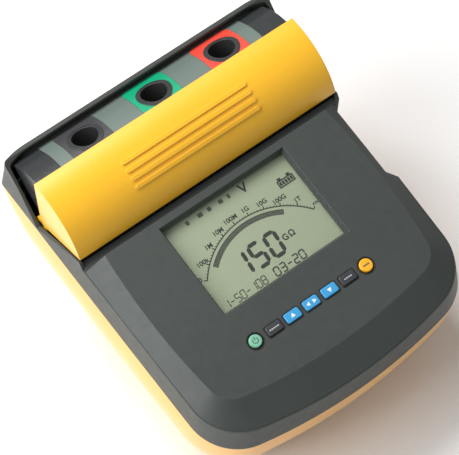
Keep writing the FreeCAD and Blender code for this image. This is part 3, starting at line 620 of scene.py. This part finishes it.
inlet_plastic = plastic("inlet_plastic", (0.014, 0.014, 0.015), gloss=0.45, drift=0.1, grain=0.2)
moulding("inlet", inlet_plastic, "inlet_black", "mains_inlet")
moulding("inlet_blades", metal("blade_nickel", (0.66, 0.64, 0.60)), "contact_nickel", "inlet_pins")

# ------------------------------------------------------------ inside parts
# The battery, transformer, boards and high-voltage module fill the tub. They are seen
# only when the case is open, and each has the finish of the real piece.


def board_fibre(name):
    """Green solder mask over glass cloth: a fine woven relief, and copper tracks as lighter lines."""
    material, tree, surface, place = blank_material(name)
    tracks = node(tree, "TexBrick", Vector=place, Scale=160.0, Mortar_Size=0.012,
                  Color1=(0.01, 0.11, 0.05, 1), Color2=(0.012, 0.13, 0.06, 1), Mortar=(0.03, 0.24, 0.11, 1))
    weave = node(tree, "TexWave", Vector=place, Scale=900.0, Distortion=1.0).outputs["Fac"]
    tree.links.new(tracks.outputs["Color"], surface.inputs["Base Color"])
    tree.links.new(ranged(tree, weave, 0.0, 1.0, 0.25, 0.36), surface.inputs["Roughness"])
    relief = node(tree, "Bump", Height=weave, Strength=0.1, Distance=0.00005)
    tree.links.new(relief.outputs["Normal"], surface.inputs["Normal"])
    return material


circuit_fibre = board_fibre("circuit_fibre")
mat_rubber = plastic("mat_rubber", (0.10, 0.10, 0.105), gloss=0.7, grain=0.4)
battery_plastic = plastic("battery_plastic", (0.03, 0.03, 0.034), gloss=0.4)
strap_zinc = metal("strap_zinc", (0.58, 0.59, 0.60), gloss=0.35)
core_laminations = metal("core_laminations", (0.20, 0.20, 0.21), gloss=0.45, brushed=1200.0)
potting_resin = plastic("potting_resin", (0.012, 0.014, 0.022), gloss=0.3)
buzzer_plastic = plastic("buzzer_plastic", (0.015, 0.015, 0.016), gloss=0.4)
cable_pvc = plastic("cable_pvc", (0.33, 0.34, 0.35), gloss=0.45, grain=0.1)
inside = {
    "display_board": ("display_circuit", circuit_fibre, "circuit_board"),
    "main_board": ("main_circuit", circuit_fibre, "circuit_board"),
    "display_screws": ("display_fixings", screw_steel, "screw_steel"),
    "main_board_screws": ("board_fixings", screw_steel, "screw_steel"),
    "rubber_keypad": ("keypad_mat", mat_rubber, "keypad_rubber"),
    "battery": ("battery_case", battery_plastic, "battery_case"),
    "battery_strap": ("battery_band", strap_zinc, "strap_steel"),
    "transformer": ("transformer_core", core_laminations, "core_steel"),
    "high_voltage_module": ("potted_module", potting_resin, "resin"),
    "buzzer": ("buzzer_can", buzzer_plastic, "bezel_black"),
    "ribbon_cable": ("flat_cable", cable_pvc, "cable_grey"),
}
for cad_name, (piece_name, finish, slot_name) in inside.items():
    moulding(piece_name, finish, slot_name, cad_name)

# --------------------------------------------------- floor, light and camera
# A plain pale floor, three large soft lights from the upper left, the upper rear and the
# left, and an evenly lit room around them.

FLOOR_HALF = 6.0
floor_mesh = bpy.data.meshes.new("floor")
floor_corners = [(x * FLOOR_HALF, y * FLOOR_HALF, 0) for x, y in ((-1, -1), (1, -1), (1, 1), (-1, 1))]
floor_mesh.from_pydata(floor_corners, [], [(0, 1, 2, 3)])
floor = bpy.data.objects.new("floor", floor_mesh)
bpy.context.scene.collection.objects.link(floor)
floor_mesh.materials.append(ink("floor_paper", (0.90, 0.90, 0.90), gloss=0.8))


def soft_light(name, place, size, power):
    """A square area light at place that faces the middle of the glass."""
    lamp = bpy.data.lights.new(name, "AREA")
    lamp.size = size
    lamp.energy = power
    carrier = bpy.data.objects.new(name, lamp)
    carrier.location = place
    carrier.rotation_euler = (glass_centre - Vector(place)).to_track_quat("-Z", "Y").to_euler()
    bpy.context.scene.collection.objects.link(carrier)


soft_light("key_light", (-1.15, 0.30, 1.25), 1.1, 17.0)
soft_light("rear_light", (-0.25, 1.05, 1.65), 1.0, 33.0)
soft_light("left_light", (-1.60, -0.10, 0.50), 1.0, 7.5)
world = bpy.data.worlds.new("room")
world.use_nodes = True
background = world.node_tree.nodes["Background"]
background.inputs["Color"].default_value = (1, 1, 1, 1)
background.inputs["Strength"].default_value = 0.30
bpy.context.scene.world = world
bpy.context.scene.view_settings.view_transform = "Standard"

AZIMUTH = math.radians(-37.37)
ELEVATION = math.radians(61.07)
DISTANCE = 1.8825
LENS = 211.55
AIM_RIGHT, AIM_UP = 0.01668, -0.00372
view_right = Vector((math.cos(AZIMUTH), math.sin(AZIMUTH), 0))
view_back = Vector((math.sin(AZIMUTH) * math.cos(ELEVATION), -math.cos(AZIMUTH) * math.cos(ELEVATION),
                    math.sin(ELEVATION)))
view_up = view_back.cross(view_right)
camera_data = bpy.data.cameras.new("camera")
camera_data.lens = LENS
camera = bpy.data.objects.new("camera", camera_data)
aim = glass_centre - view_right * AIM_RIGHT - view_up * AIM_UP
camera.location = aim + view_back * DISTANCE
camera.rotation_mode = "QUATERNION"
camera.rotation_quaternion = Matrix((view_right, view_up, view_back)).transposed().to_quaternion()
bpy.context.scene.collection.objects.link(camera)
bpy.context.scene.camera = camera
